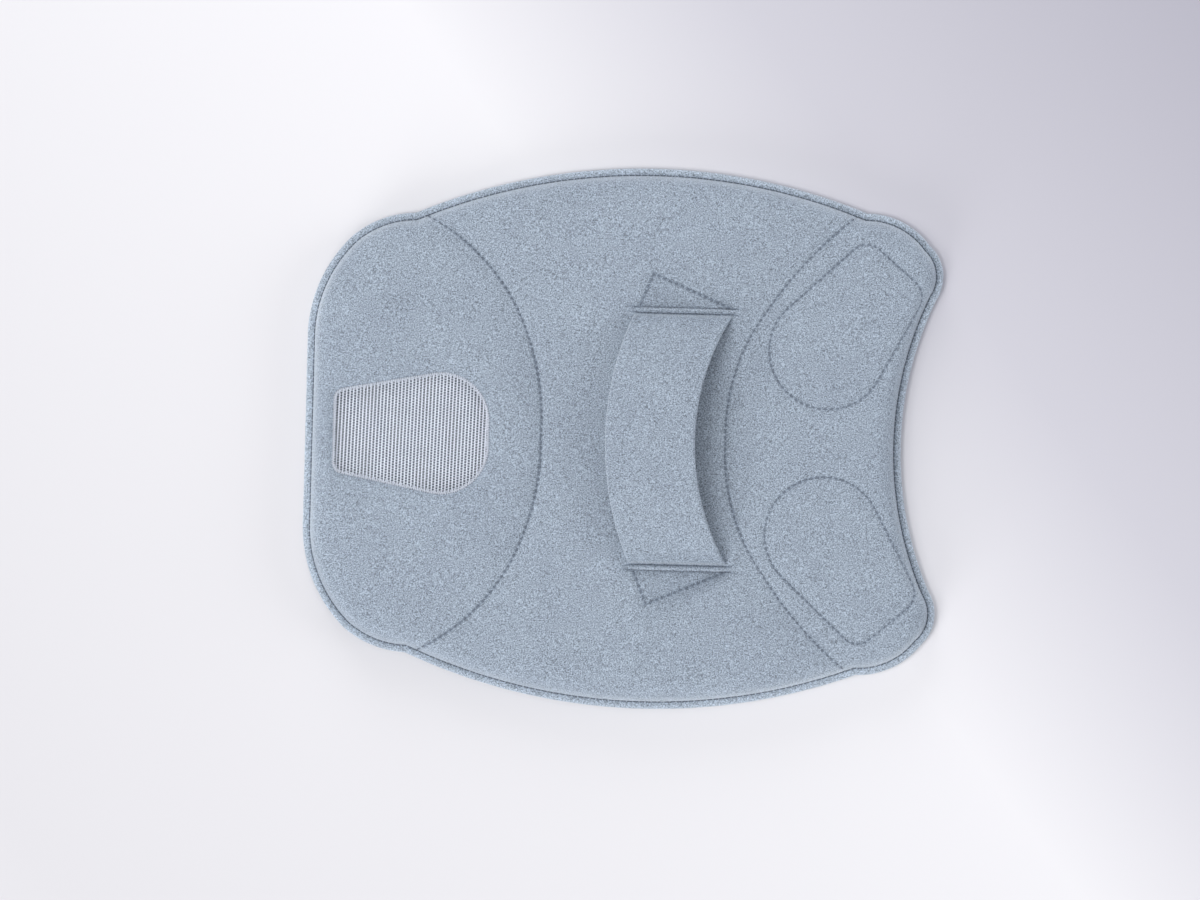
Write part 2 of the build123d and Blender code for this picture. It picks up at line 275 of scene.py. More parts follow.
# ---------------------------------------------------------------- the padded surface
FACE_EDGE = 3.6  # the fabric's edge, tucked under the binding
ROLL_START = 4.9
ROLL_POWERS = (2.5, 0.62)  # of the curve the rolled edge follows
ROLL_WIDER = (0.2, 110.0, 60.0)  # the roll widens by this share, from this x, over this length
EDGE_SINK = 1.6  # from the binding's top down to the fabric's edge
EDGE_SHADE = (0.6, 0.9)  # darkness and width of the painted shade in the groove along the binding
SWELLS = ((0.6, 85, 3, 30), (0.2, 24, 5, 20))  # height, length, seed, and how far in they are full

# Each kind of stitch line: depth and reach of its valley, then depth and width of its groove. The pairs
# below give a size first, and then the width or distance over which it is reached.
SEAM_SEWN = (1.6, 6.0, 1.4, 0.9)
INSERT_SEWN = (0.8, 4.0, 1.0, 0.8)
TAB_SEWN = (1.1, 3.8, 1.1, 0.9)
SEAM_DEPTH = {"vent": 1.0, "scoop": 0.8}  # how deep each seam's groove is, and how dark its painted shade
SEAM_SHADE = 1.1  # width of the seam's painted line of shade
SEAM_FADE = (0.3, 3.0, 20.0)  # share of its depth at a seam's ends, where it grows, over what length
# painted shade along the inserts' stitch lines: darkness and width
INSERT_SHADE = (0.9, 1.0)
INSERT_RISE = (0.7, 7.0)
# width of the painted shade along the tabs' stitch lines
TAB_SHADE = 1.2
TAB_SINK = (0.9, 3.0)
TAB_PAINTED_SHADE = 0.24  # share of a groove's painted shade laid over the whole sunken tab
SLOT_SINKS = ((0.9, 0.7), (0.5, 5.0))
# width of the painted shade along each slot, under its lip
SLOT_SHADE = 0.6
WINDOW_SINK = (1.3, 3.2)
PUCKER = (0.2, 2.2)
GROOVE_MEAN = 0.7  # of a groove's depth, the rest comes and goes with the stitches
TIGHTNESS = (0.8, 0.25, 45)  # how hard the thread is pulled: mean, swing, and length of its waves
FOLD = (3.0, 7.0)
FOLD_GROWS = 25.0  # along its line, the fold grows over this length
FOLD_DIES = 80.0  # and dies away over this one
FOLD_END = 150.0
FOLD_LINE = np.vstack([arc((88.0, -84.0), (46.0, -106.0), (17.0, -124.0)), [(4.0, -163.0)]])
LINES = [(OUTLINE, True)]
LINES += [(line, False) for line in SEAMS.values()]
LINES += [(loop, True) for loop in INSERT_LOOPS]
LINES += [(line, False) for line in TAB_LINES + WELT_LINES]
LINES += [(WINDOW_LOOP, True)]


def sewn(d, pull, valley, reach, groove, width):
    """How far stitches pull the fabric down: a soft valley, a tight groove, a pucker at each stitch."""
    pucker = PUCKER[0] * pull * bell(d, PUCKER[1])
    return valley * bell(d, reach) + groove * dashed(d, pull, width) + pucker


def dashed(d, pull, width):
    """A groove's strength under a line of stitches, from 0 to 1, used for its depth and for its painted
    shade: strongest below each stitch, weakest in the gaps.
    """
    return bell(d, width) * (GROOVE_MEAN + (1 - GROOVE_MEAN) * pull)


def surface(points, puffed=None):
    """Height of the face fabric, and its painted shade at each point, from 0 to 1, darkest in the
    grooves.
    """
    edge = distance(points, OUTLINE, True)
    share, start, length = ROLL_WIDER
    roll = ROLL * (1 + share * smooth((points[:, 0] - start) / length))
    t = np.clip((edge - ROLL_START) / roll, 0, 1)
    foot = BINDING_TOP - EDGE_SINK
    z = foot + (PAD_TOP - foot) * (1 - (1 - t) ** ROLL_POWERS[0]) ** ROLL_POWERS[1]
    for height, length, seed, full in SWELLS:
        z += height * waves(points, length, seed) * smooth(edge / full)
    mean, swing, length = TIGHTNESS
    tight = mean + swing * waves(points, length, 8)
    pull = sewing(points, EDGE_STITCH_LINE, True)[1]
    # painted shade, built up below: along the binding's groove, the seams, the inserts' and tabs' lines
    # and the slots
    groove_shade = EDGE_SHADE[0] * tight * dashed(edge - ROLL_START, pull, EDGE_SHADE[1])
    least, fade_start, fade_length = SEAM_FADE
    grown = least + (1 - least) * smooth((edge - fade_start) / fade_length)
    for name, line in SEAMS.items():
        d, pull = sewing(points, line)
        z -= SEAM_DEPTH[name] ** 0.5 * sewn(d, pull, *SEAM_SEWN) * grown
        groove_shade = np.maximum(groove_shade, SEAM_DEPTH[name] * tight * dashed(d, pull, SEAM_SHADE))
    for loop in INSERT_LOOPS:
        d, pull = sewing(points, loop, True)
        z += INSERT_RISE[0] * inside(points, loop) * smooth(d / INSERT_RISE[1])
        z -= sewn(d, pull, *INSERT_SEWN)
        groove_shade = np.maximum(groove_shade, INSERT_SHADE[0] * tight * dashed(d, pull, INSERT_SHADE[1]))
    for line in TAB_LINES:
        d, pull = sewing(points, line)
        within = inside(points, line)
        z -= sewn(d, pull, *TAB_SEWN) + TAB_SINK[0] * within * smooth(d / TAB_SINK[1])
        # painted shade along the tab's lines, and lightly over the whole sunken tab
        groove_shade = np.maximum(groove_shade, np.maximum(dashed(d, pull, TAB_SHADE), TAB_PAINTED_SHADE * within))
    for line in WELT_LINES:
        d = distance(points, line)
        z -= sum(depth * bell(d, width) for depth, width in SLOT_SINKS)
        # painted shade under each slot's lip
        groove_shade = np.maximum(groove_shade, bell(d, SLOT_SHADE))
    z -= WINDOW_SINK[0] * (1 - smooth(distance(points, WINDOW_LOOP, True) / WINDOW_SINK[1]))
    d, along = near(points, FOLD_LINE)
    z += FOLD[0] * bell(d, FOLD[1]) * smooth(along / FOLD_GROWS) * smooth((FOLD_END - along) / FOLD_DIES)
    if puffed:
        z += puffed(points)
    return z, groove_shade


def beside(line, closed, side, amount, step):
    """Points a set distance to the left (1) or right (-1) of a line."""
    pts, tangent, _ = resampled(line, step, closed)
    return pts + side * amount * np.column_stack([-tangent[:, 1], tangent[:, 0]])


EDGE_STITCH_LINE = beside(OUTLINE, True, 1, BINDING_WIDTH - 0.15, 1.0)
GRID_REACH = (208, 177)  # in x and y, just past the pad
GRID_SHAKE = 0.12  # share of the spacing
LEAST_STEP = 1.05  # between points beside a line


def cloud_of_points(spacing, rings, margin):
    """Points to triangulate: close together beside each line, even elsewhere, margin from the edge."""

    def gap(points):
        gaps = [distance(points, line, closed) for line, closed in LINES]
        gaps[0] = gaps[0] - margin
        return np.min(gaps, axis=0)

    clouds = []
    for ring in rings:
        for line, closed in LINES:
            first = margin if line is OUTLINE else 0.0
            for side in (1,) if line is OUTLINE else (1, -1):
                pts = beside(line, closed, side, first + ring, max(LEAST_STEP, 0.45 * ring + 0.7))
                clouds.append(pts[gap(pts) > 0.93 * ring])
    rows = np.arange(-GRID_REACH[1], GRID_REACH[1], spacing * math.sqrt(3) / 2)
    columns = np.arange(-GRID_REACH[0], GRID_REACH[0], spacing)
    grid = [(x + i % 2 * spacing / 2, y) for i, y in enumerate(rows) for x in columns]
    grid = np.array(grid) + RANDOM.uniform(-GRID_SHAKE, GRID_SHAKE, (len(grid), 2)) * spacing
    clouds.append(grid[gap(grid) > rings[-1] + 0.4 * spacing])
    return np.concatenate(clouds)


def triangulated(spacing, rings, margin, step):
    """Flat triangles over the whole pad but the window, whose edges follow every sewn line."""
    border = beside(OUTLINE, True, 1, margin, step)
    across = straight((SPLIT_X, -175.0), (SPLIT_X, 175.0), 3.0)
    points, edges, count = [], [], 0
    chains = [(border, True), (across, False)]
    chains += [(resampled(line, step, closed)[0], closed) for line, closed in LINES[1:]]
    for pts, closed in chains:
        n = len(pts)
        edges += [(count + k, count + (k + 1) % n) for k in range(n if closed else n - 1)]
        points.append(pts)
        count += n
    cloud = cloud_of_points(spacing, rings, margin)
    cloud = cloud[inside(cloud, border) & (np.abs(cloud[:, 0] - SPLIT_X) > 0.5)]
    flat = np.concatenate(points + [cloud])
    made = delaunay_2d_cdt([Vector(p) for p in flat], edges, [], 0, 1e-4)
    verts = np.array([tuple(v) for v in made[0]])
    faces = np.array([f for f in made[2] if len(f) == 3])
    a, b, c = (verts[faces[:, k]] for k in range(3))
    area = (b[:, 0] - a[:, 0]) * (c[:, 1] - a[:, 1]) - (b[:, 1] - a[:, 1]) * (c[:, 0] - a[:, 0])
    faces[area < 0] = faces[area < 0][:, ::-1]
    centres = verts[faces].mean(1)
    good = (np.abs(area) > 1e-5) & inside(centres, border) & ~inside(centres, WINDOW_LOOP)
    return verts, faces[good]


# ---------------------------------------------------------------- meshes
def added(name, data):
    o = bpy.data.objects.new(name, data)
    bpy.context.scene.collection.objects.link(o)
    return o


def mesh_object(name, verts, faces, normals=None):
    """A smooth-shaded object from points in mm, with its normals if it is cut from a larger surface."""
    mesh = bpy.data.meshes.new(name)
    mesh.from_pydata((np.asarray(verts, float) * MM).tolist(), [], [list(map(int, f)) for f in faces])
    mesh.update()
    mesh.polygons.foreach_set("use_smooth", [True] * len(mesh.polygons))
    if normals is not None:
        mesh.normals_split_custom_set_from_vertices(np.asarray(normals, float).tolist())
    return added(name, mesh)


def mark(o, name, values):
    """A value at each vertex, for the material to read."""
    attribute = o.data.attributes.new(name, "FLOAT", "POINT")
    attribute.data.foreach_set("value", np.asarray(values, np.float32))


def vertex_normals(verts, faces):
    a, b, c = (verts[faces[:, k]] for k in range(3))
    n = np.cross(b - a, c - a)
    total = np.zeros_like(verts)
    for k in range(3):
        np.add.at(total, faces[:, k], n)
    return total / (np.linalg.norm(total, axis=1)[:, None] + 1e-12)


def shell(name, verts, faces, normals, thick, values=None):
    """A closed sheet of cloth: triangles, the same again one thickness behind, and a rim."""
    used, turned = np.unique(faces, return_inverse=True)
    tri = turned.reshape(faces.shape)
    top, n = verts[used], normals[used]
    count = len(used)
    back = top - thick * n
    edges = np.concatenate([tri[:, [0, 1]], tri[:, [1, 2]], tri[:, [2, 0]]])
    keys = set(map(tuple, edges.tolist()))
    rim = [(a, b) for a, b in keys if (b, a) not in keys]
    quads = [(b, a, a + count, b + count) for a, b in sorted(rim)]
    all_faces = tri.tolist() + (tri[:, ::-1] + count).tolist() + quads
    o = mesh_object(name, np.vstack([top, back]), all_faces, np.vstack([n, -n]))
    # the painted shade of the face's grooves, on both sides of the sheet
    if values is not None:
        mark(o, "groove", np.r_[values[used], values[used]])
    return o


def sleeve_quads(sides, stations):
    """The faces round a closed sleeve, as numbers of its points."""
    k = np.arange(sides)
    quads = np.stack([k, (k + 1) % sides, (k + 1) % sides + sides, k + sides], 1)
    return np.concatenate([quads + s * sides for s in range(stations - 1)])


def sleeve_faces(sides, stations):
    """A sleeve with a cap at each end."""
    k = np.arange(sides)
    caps = [k[::-1].tolist(), (k + (stations - 1) * sides).tolist()]
    return sleeve_quads(sides, stations).tolist() + caps


def tubes(name, paths, radii, sides, flat=1.0):
    """Closed round strands: paths is strands x stations x 3, and radii is strands x stations."""
    strands, stations = paths.shape[:2]
    ahead = np.gradient(paths, axis=1)
    ahead /= np.linalg.norm(ahead, axis=2)[..., None]
    across = np.cross(np.array([0, 0, 1.0]), ahead)
    across /= np.linalg.norm(across, axis=2)[..., None] + 1e-9
    above = np.cross(ahead, across)
    turn = 2 * math.pi * np.arange(sides) / sides
    ring = np.cos(turn)[:, None] * across[..., None, :]
    ring = ring + flat * np.sin(turn)[:, None] * above[..., None, :]
    verts = (paths[..., None, :] + ring * radii[..., None, None]).reshape(-1, 3)
    one = sleeve_quads(sides, stations)
    faces = (one + np.arange(strands)[:, None, None] * stations * sides).reshape(-1, 4).tolist()
    for s in range(strands):
        base = s * stations * sides
        faces.append(list(range(base + sides - 1, base - 1, -1)))
        faces.append(list(range(base + (stations - 1) * sides, base + stations * sides)))
    return mesh_object(name, verts, faces)


def line_sampler(line, closed):
    """A function from distances along a line to places and directions on it."""
    pts, tangent, at = resampled(line, 0.5, closed)
    if closed:
        pts, tangent = np.vstack([pts, pts[:1]]), np.vstack([tangent, tangent[:1]])
        at = np.r_[at, at[-1] + at[1]]

    def sample(s):
        place = np.stack([np.interp(s, at, pts[:, k]) for k in (0, 1)], -1)
        way = np.stack([np.interp(s, at, tangent[:, k]) for k in (0, 1)], -1)
        return place, way / np.linalg.norm(way, axis=-1)[..., None]

    return sample, at[-1]


# Stations of a stitch: place along its length, height over its middle, share of the radius, and painted
# shade where it dives into the cloth.
STITCH_STATIONS = (
    (-0.5, -0.75, 0.75, 1),
    (-0.36, -0.15, 1, 0.8),
    (-0.12, 0.08, 1, 0),
    (0.12, 0.08, 1, 0),
    (0.36, -0.15, 1, 0.8),
    (0.5, -0.75, 0.75, 1),
)


def stitches(name, lines, height, keep=None):
    """Separate stitches along lines, diving in at both ends; height gives their middles' height."""
    spots, dives, shares, dive_shade = np.array(STITCH_STATIONS).T
    sides = 6
    paths = []
    for line, closed in lines:
        sample, length = line_sampler(line, closed)
        count = int(length // STITCH_PITCH)
        middle = (np.arange(count) + 0.5) * length / count
        s = middle[:, None] + STITCH_LENGTH * spots
        place, _ = sample(s)
        if keep is not None:
            place = place[keep(place.mean(1))]
        if len(place):
            z = height(place[:, 2:4].mean(1))[:, None] + dives
            paths.append(np.concatenate([place, z[..., None]], 2))
    paths = np.concatenate(paths)
    o = tubes(name, paths, STITCH_RADIUS * np.tile(shares, (len(paths), 1)), sides)
    # painted shade at each stitch's ends, where the thread dives into the cloth
    mark(o, "groove", np.tile(np.repeat(dive_shade, sides), len(paths)))
    return o


# ---------------------------------------------------------------- the fabric blown up by simulation
PUFF_LIMIT = 1.8
PUFF_FRAMES = 20
PUFF_START = 0.96  # share of the height the cloth starts from
PUFF_BLUR = 3.4
PUFF_NEIGHBOURS = 9
HELD_BESIDE_LINES = 1.0
HELD_AT_EDGE = 1.5


def puff():
    """Lets pressure lift the fabric between its sewn lines, and returns a function for the lift."""
    verts, faces = triangulated(spacing=5.0, rings=(4.0,), margin=ROLL_START, step=4.0)
    start = PUFF_START * surface(verts)[0]
    o = mesh_object("puff_cloth", np.column_stack([verts, start]), faces)
    gaps = [distance(verts, line, closed) for line, closed in LINES[1:]]
    held = np.min(gaps, axis=0) < HELD_BESIDE_LINES
    held |= distance(verts, OUTLINE, True) < ROLL_START + HELD_AT_EDGE
    group = o.vertex_groups.new(name="held")
    group.add([int(k) for k in np.flatnonzero(held)], 1.0, "REPLACE")
    cloth = o.modifiers.new("Cloth", "CLOTH")
    s = cloth.settings
    s.quality = 6
    s.mass = 0.3
    s.tension_stiffness = s.compression_stiffness = 15
    s.shear_stiffness = 5
    s.bending_stiffness = 0.5
    s.use_pressure = True
    s.uniform_pressure_force = 4.0
    s.effector_weights.gravity = 0
    s.vertex_group_mass = "held"
    cloth.point_cache.frame_start, cloth.point_cache.frame_end = 1, PUFF_FRAMES
    for f in range(1, PUFF_FRAMES + 1):
        bpy.context.scene.frame_set(f)
    blown = o.evaluated_get(bpy.context.evaluated_depsgraph_get()).data
    after = np.array([v.co[:] for v in blown.vertices]) / MM
    rise = after[:, 2] - start
    bpy.context.scene.frame_set(1)
    bpy.data.objects.remove(o)
    rise = PUFF_LIMIT * np.tanh(rise / PUFF_LIMIT) * ~held
    tree = KDTree(len(verts))
    for k, p in enumerate(verts):
        tree.insert((p[0], p[1], 0), k)
    tree.balance()

    def height(points):
        out = np.empty(len(points))
        for k, p in enumerate(points):
            found = tree.find_n((p[0], p[1], 0), PUFF_NEIGHBOURS)
            weight = np.array([math.exp(-((f[2] / PUFF_BLUR) ** 2)) for f in found]) + 1e-9
            out[k] = (weight * rise[[f[1] for f in found]]).sum() / weight.sum()
        return out

    return height


PUFFED = puff()


# ---------------------------------------------------------------- materials
WHITE = (1.0, 1.0, 1.0)


def material(name, rough, sheen=0.0, sheen_rough=0.4, sheen_tint=WHITE):
    m = bpy.data.materials.new(name)
    m.use_nodes = True
    shader = m.node_tree.nodes["Principled BSDF"]
    settings = {
        "Roughness": rough,
        "Specular IOR Level": 0.25,
        "Sheen Weight": sheen,
        "Sheen Roughness": sheen_rough,
        "Sheen Tint": (*sheen_tint, 1),
    }
    for key, value in settings.items():
        shader.inputs[key].default_value = value
    return m, m.node_tree.nodes, m.node_tree.links, shader


def grain(nodes, links, scale, detail=2.0, rough=0.5):
    """Noise fixed to the object, in metres."""
    place = nodes.new("ShaderNodeTexCoord")
    n = nodes.new("ShaderNodeTexNoise")
    n.inputs["Scale"].default_value = scale
    n.inputs["Detail"].default_value = detail
    n.inputs["Roughness"].default_value = rough
    links.new(place.outputs["Object"], n.inputs["Vector"])
    return n.outputs["Fac"]


def ramp(nodes, links, value, stops):
    r = nodes.new("ShaderNodeValToRGB")
    links.new(value, r.inputs["Fac"])
    for k, (at, colour) in enumerate(stops):
        e = r.color_ramp.elements[k] if k < 2 else r.color_ramp.elements.new(at)
        e.position, e.color = at, (*colour, 1)
    return r.outputs["Color"]


def multiplied(nodes, links, a, b):
    m = nodes.new("ShaderNodeMix")
    m.data_type, m.blend_type = "RGBA", "MULTIPLY"
    m.inputs["Factor"].default_value = 1.0
    links.new(a, m.inputs[6])
    links.new(b, m.inputs[7])
    return m.outputs[2]


def bump(nodes, links, shader, value, strength, height, before=None):
    b = nodes.new("ShaderNodeBump")
    b.inputs["Strength"].default_value = strength
    b.inputs["Distance"].default_value = height
    links.new(value, b.inputs["Height"])
    if before:
        links.new(before, b.inputs["Normal"])
    links.new(b.outputs["Normal"], shader.inputs["Normal"])
    return b.outputs["Normal"]


def scaled(colour, share):
    return tuple(share * c for c in colour)


def cloth_colour(nodes, links, shader, stops, fine, cloud, drift, groove_shade_colour):
    """Fine light and dark fibres, a slow drift of tone, and painted shade where the mesh's groove
    attribute is high.
    """
    groove = nodes.new("ShaderNodeAttribute")
    groove.attribute_name = "groove"
    base = ramp(nodes, links, fine, stops)
    base = multiplied(nodes, links, base, ramp(nodes, links, cloud, [(0.3, drift), (0.7, WHITE)]))
    # painted shade: the colour darkens with the groove attribute
    dark = ramp(nodes, links, groove.outputs["Fac"], [(0.1, WHITE), (1.0, groove_shade_colour)])
    links.new(multiplied(nodes, links, base, dark), shader.inputs["Base Color"])


def brushed_fabric(name, colour):
    """Brushed melange knit: light and dark fibres mixed in fine tufts."""
    m, nodes, links, shader = material(name, 0.95, 0.8, sheen_rough=0.35, sheen_tint=(0.86, 0.93, 1.0))
    tufts = grain(nodes, links, 1200, detail=3.0, rough=0.7)
    fibres = grain(nodes, links, 2300, detail=1.0)
    stops = [(0.34, scaled(colour, 0.34)), (0.68, scaled(colour, 1.69))]
    cloud = grain(nodes, links, 32)
    # the last colour is the painted shade in the fabric's grooves
    cloth_colour(nodes, links, shader, stops, tufts, cloud, (0.94, 0.94, 0.95), (0.48, 0.51, 0.55))
    first = bump(nodes, links, shader, tufts, strength=0.6, height=0.0006)
    bump(nodes, links, shader, fibres, strength=0.35, height=0.0002, before=first)
    return m


def woven(name, colour, scale, rough=0.8, sheen=0.25):
    """Tape, lining, thread or yarn: fine fibres with a slow drift of colour."""
    m, nodes, links, shader = material(name, rough, sheen, sheen_tint=(0.88, 0.94, 1.0))
    fibres = grain(nodes, links, scale)
    stops = [(0.3, scaled(colour, 0.84)), (0.7, scaled(colour, 1.16))]
    cloud = grain(nodes, links, 110)
    # the last colour is the painted shade at the thread's ends
    cloth_colour(nodes, links, shader, stops, fibres, cloud, (0.92, 0.92, 0.93), (0.16, 0.17, 0.20))
    bump(nodes, links, shader, fibres, strength=0.35, height=0.0002)
    return m


def pitted(name, colour, scale, rough):
    """Open-cell foam, or a moulded plate with a pebbled skin, with painted shade in its pits."""
    m, nodes, links, shader = material(name, rough)
    place = nodes.new("ShaderNodeTexCoord")
    cells = nodes.new("ShaderNodeTexVoronoi")
    cells.inputs["Scale"].default_value = scale
    links.new(place.outputs["Object"], cells.inputs["Vector"])
    spread = cells.outputs["Distance"]
    # painted shade: darker where the bump is lowest, in the pits
    base = ramp(nodes, links, spread, [(0.0, scaled(colour, 0.75)), (0.5, colour)])
    links.new(base, shader.inputs["Base Color"])
    bump(nodes, links, shader, spread, strength=0.5, height=0.0004)
    return m


LOOKS = {
    "face_fabric": brushed_fabric("face_fabric", (0.300, 0.350, 0.414)),
    "binding_tape": brushed_fabric("binding_tape", (0.375, 0.434, 0.505)),
    "lining_fabric": woven("lining_fabric", (0.300, 0.350, 0.410), scale=900),
    "sewing_thread": woven("sewing_thread", (0.185, 0.218, 0.268), scale=1800, rough=0.7),
    "vent_mesh": woven("vent_mesh", (0.64, 0.68, 0.76), scale=1800, rough=0.55),
    # the back net is painted dark to stand in for the shade seen through the front net's holes
    "backing_mesh": woven("backing_mesh", (0.24, 0.27, 0.32), scale=1800, rough=0.7),
    "foam": pitted("foam", (0.56, 0.60, 0.66), scale=900, rough=0.95),
    "impact_plate": pitted("impact_plate", (0.07, 0.075, 0.085), scale=500, rough=0.5),
}


def place(o, slot, bend=None, body=None, stands_for=(), look=None):
    """The last step for each piece: its look and slot, the CAD parts it stands for, which are hidden,
    and the body it moves with when it has no bend; a piece with a bend only has its transform baked into
    its mesh.
    """
    o.data.materials.clear()
    o.data.materials.append(LOOKS[look or slot])
    if bend:
        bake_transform(o)
    else:
        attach(o, body)
    if stands_for:
        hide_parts(*stands_for)
    return o


# The parts of the pad: name, half of the centre section or None, and the joint it bends over.
PARTS = (
    ("vent", None, VENT_BEND),
    ("centre_front", -1, VENT_BEND),
    ("centre_rear", 1, SCOOP_BEND),
    ("scoop", None, SCOOP_BEND),
)


def part_of(points):
    """The index in PARTS of each point."""
    x, y = points[:, 0], points[:, 1]
    return (x >= seam_x("vent", y)).astype(int) + (x >= SPLIT_X) + (x > seam_x("scoop", y))


def node_of(part, what):
    return f"{part.split('_')[0]}_{what}"


# ---------------------------------------------------------------- face panels
FACE_RINGS = (0.5, 1.0, 1.7, 2.6, 3.8, 5.4, 7.5, 10.0)  # of rows of points beside each line


def face_panels():
    flat, faces = triangulated(spacing=3.0, rings=FACE_RINGS, margin=FACE_EDGE, step=LEAST_STEP)
    z, groove_shade = surface(flat, PUFFED)
    verts = np.column_stack([flat, z])
    normals = vertex_normals(verts, faces)
    where = part_of(flat[faces].mean(1))
    for index, (name, _, bend) in enumerate(PARTS):
        o = shell(f"{name}_face", verts, faces[where == index], normals, FACE_THICK, groove_shade)
        place(o, "face_fabric", bend, stands_for=[node_of(name, "face_panel")])


# ---------------------------------------------------------------- lining
LINING_THICK = 0.8
LINING_LEVEL = 1.35
LINING_WAVES = (0.18, 60, 25)  # height, length, and how far in they are full
LINING_TUCK = (0.75, 3.6, 2.5)  # the edge tucked under the binding: height, place and width
LINING_SEAM = ((0.9, 5.0), (0.6, 0.9))  # heights and widths of what a seam pulls in
LINING_PUCKER = (0.12, 2.0)
LINING_WINDOW = (0.9, 3.0)


def lining_height(points):
    """Height of the lining's upper side, which is flat but for the seams and the tucked-in edge."""
    edge = distance(points, OUTLINE, True)
    height, length, full = LINING_WAVES
    z = LINING_LEVEL + height * waves(points, length, 11) * smooth(edge / full)
    height, at, width = LINING_TUCK
    z = z + height * bell(edge - at, width)
    for line in SEAMS.values():
        d, pull = sewing(points, line)
        z += sum(height * bell(d, width) for height, width in LINING_SEAM)
        z += LINING_PUCKER[0] * pull * bell(d, LINING_PUCKER[1])
    return z + LINING_WINDOW[0] * (1 - smooth(distance(points, WINDOW_LOOP, True) / LINING_WINDOW[1]))


def linings():
    flat, faces = triangulated(spacing=6.0, rings=(1.0, 2.6, 5.4), margin=FACE_EDGE, step=2.0)
    verts = np.column_stack([flat, lining_height(flat)])
    normals = vertex_normals(verts, faces)
    where = part_of(flat[faces].mean(1))
    for index, (name, _, bend) in enumerate(PARTS):
        mine = faces[where == index]
        o = shell(f"{name}_lining_sheet", verts, mine, normals, LINING_THICK)
        place(o, "lining_fabric", bend, stands_for=[node_of(name, "lining")])


# ---------------------------------------------------------------- binding and stitches
# Inward from the pad's edge, and height: over the top, round the outside, under, and back.
# fmt: off
BINDING_PROFILE = (
    (4.6, 5.15), (3.9, 5.35), (2.8, 5.40), (1.7, 5.30), (0.75, 4.95), (0.2, 4.2), (0.0, 2.8),
    (0.2, 1.4), (0.75, 0.65), (1.7, 0.32), (2.8, 0.22), (3.9, 0.25), (4.6, 0.45),
    (4.55, 1.25), (1.5, 1.3), (1.05, 2.8), (1.5, 4.3), (4.55, 4.35),
)
# fmt: on
BINDING_MIDDLE = 2.8  # height of its outermost line
BINDING_LIP = (2.2, 2.0)  # where the lip starts, and how far on it is full
LIP_PULL = 0.28  # how far a stitch draws the lip down
BINDING_WAVES = ((0.07, 18, 21), (0.04, 14, 22))  # up and down, and in and out: size, length and seed


def bindings():
    pts, tangent, _ = resampled(OUTLINE, 1.0, True)
    inward = np.column_stack([-tangent[:, 1], tangent[:, 0]])
    u, z = np.array(BINDING_PROFILE).T
    lip = smooth((u - BINDING_LIP[0]) / BINDING_LIP[1])
    pull = 0.5 + 0.5 * sewing(pts + BINDING_WIDTH * inward, EDGE_STITCH_LINE, True)[1][:, None]
    above = np.where(z > BINDING_MIDDLE, 1.0, -1.0)
    up, sideways = (size * waves(pts, length, seed)[:, None] for size, length, seed in BINDING_WAVES)
    height = z - above * lip * LIP_PULL * pull + up * above
    flat = pts[:, None, :] + inward[:, None, :] * (u + sideways * (1 - lip))[..., None]
    verts = np.concatenate([flat, height[..., None]], 2)
    n, sides = verts.shape[:2]
    around, along = np.gradient(verts, axis=1), np.roll(verts, -1, 0) - np.roll(verts, 1, 0)
    normals = np.cross(around, along)
    normals /= np.linalg.norm(normals, axis=2)[..., None]
    where = np.digitize(pts[:, 0], [VENT_NOTCH[0], SPLIT_X, SCOOP_NOTCH[0]])
    left = (pts[:, 1] > 0) & (where > 0) & (where < 3)
    key = where * 2 + left
    first = int(np.flatnonzero(key != np.roll(key, 1))[0])
    order = np.roll(np.arange(n), -first)
    runs = np.split(order, np.flatnonzero(np.diff(key[order])) + 1)
    for run in runs:
        name, half, bend = PARTS[where[run[0]]]
        side = "" if half is None else ("_left" if left[run[0]] else "_right")
        rows = np.r_[run, (run[-1] + 1) % n]
        points, mine = verts[rows].reshape(-1, 3), normals[rows].reshape(-1, 3)
        o = mesh_object(f"{name}_binding{side}", points, sleeve_faces(sides, len(rows)), mine)
        place(o, "binding_tape", bend, stands_for=[node_of(name, "edge_binding") + side])


def over_face(lift):
    return lambda points: surface(points)[0] + lift


def over_binding(points):
    return np.full(len(points), EDGE_STITCH_TOP)


def clear_of_ends(points):
    return distance(points, OUTLINE, True) > SEAM_ENDS


EDGE_STITCH_TOP = 5.2
SEAM_ENDS = 6.0  # the seams' stitches stop this far from the edge
SEAM_LIFT = 0.35  # of the thread's middle over the cloth
INSERT_LIFT = 0.25
TAB_LIFT = 0.2


def all_stitches():
    for index, (name, _, bend) in enumerate(PARTS):
        keep = lambda points, index=index: part_of(points) == index
        o = stitches(f"{name}_edge_stitches", [(EDGE_STITCH_LINE, True)], over_binding, keep)
        place(o, "sewing_thread", bend, stands_for=[node_of(name, "edge_thread")])
    for name, bend in (("vent", VENT_BEND), ("scoop", SCOOP_BEND)):
        line = [(SEAMS[name], False)]
        o = stitches(f"{name}_seam_stitches", line, over_face(SEAM_LIFT), clear_of_ends)
        place(o, "sewing_thread", bend, stands_for=[f"{name}_seam_thread"])
    loops = [(loop, True) for loop in INSERT_LOOPS]
    o = stitches("corner_insert_stitches", loops, over_face(INSERT_LIFT))
    place(o, "sewing_thread", SCOOP_BEND, stands_for=["corner_insert_thread"])
    lines = [(line, False) for line in TAB_LINES + WELT_LINES]
    o = stitches("strap_tab_stitches", lines, over_face(TAB_LIFT))
    place(o, "sewing_thread", body="centre_section", stands_for=["strap_tab_thread"])


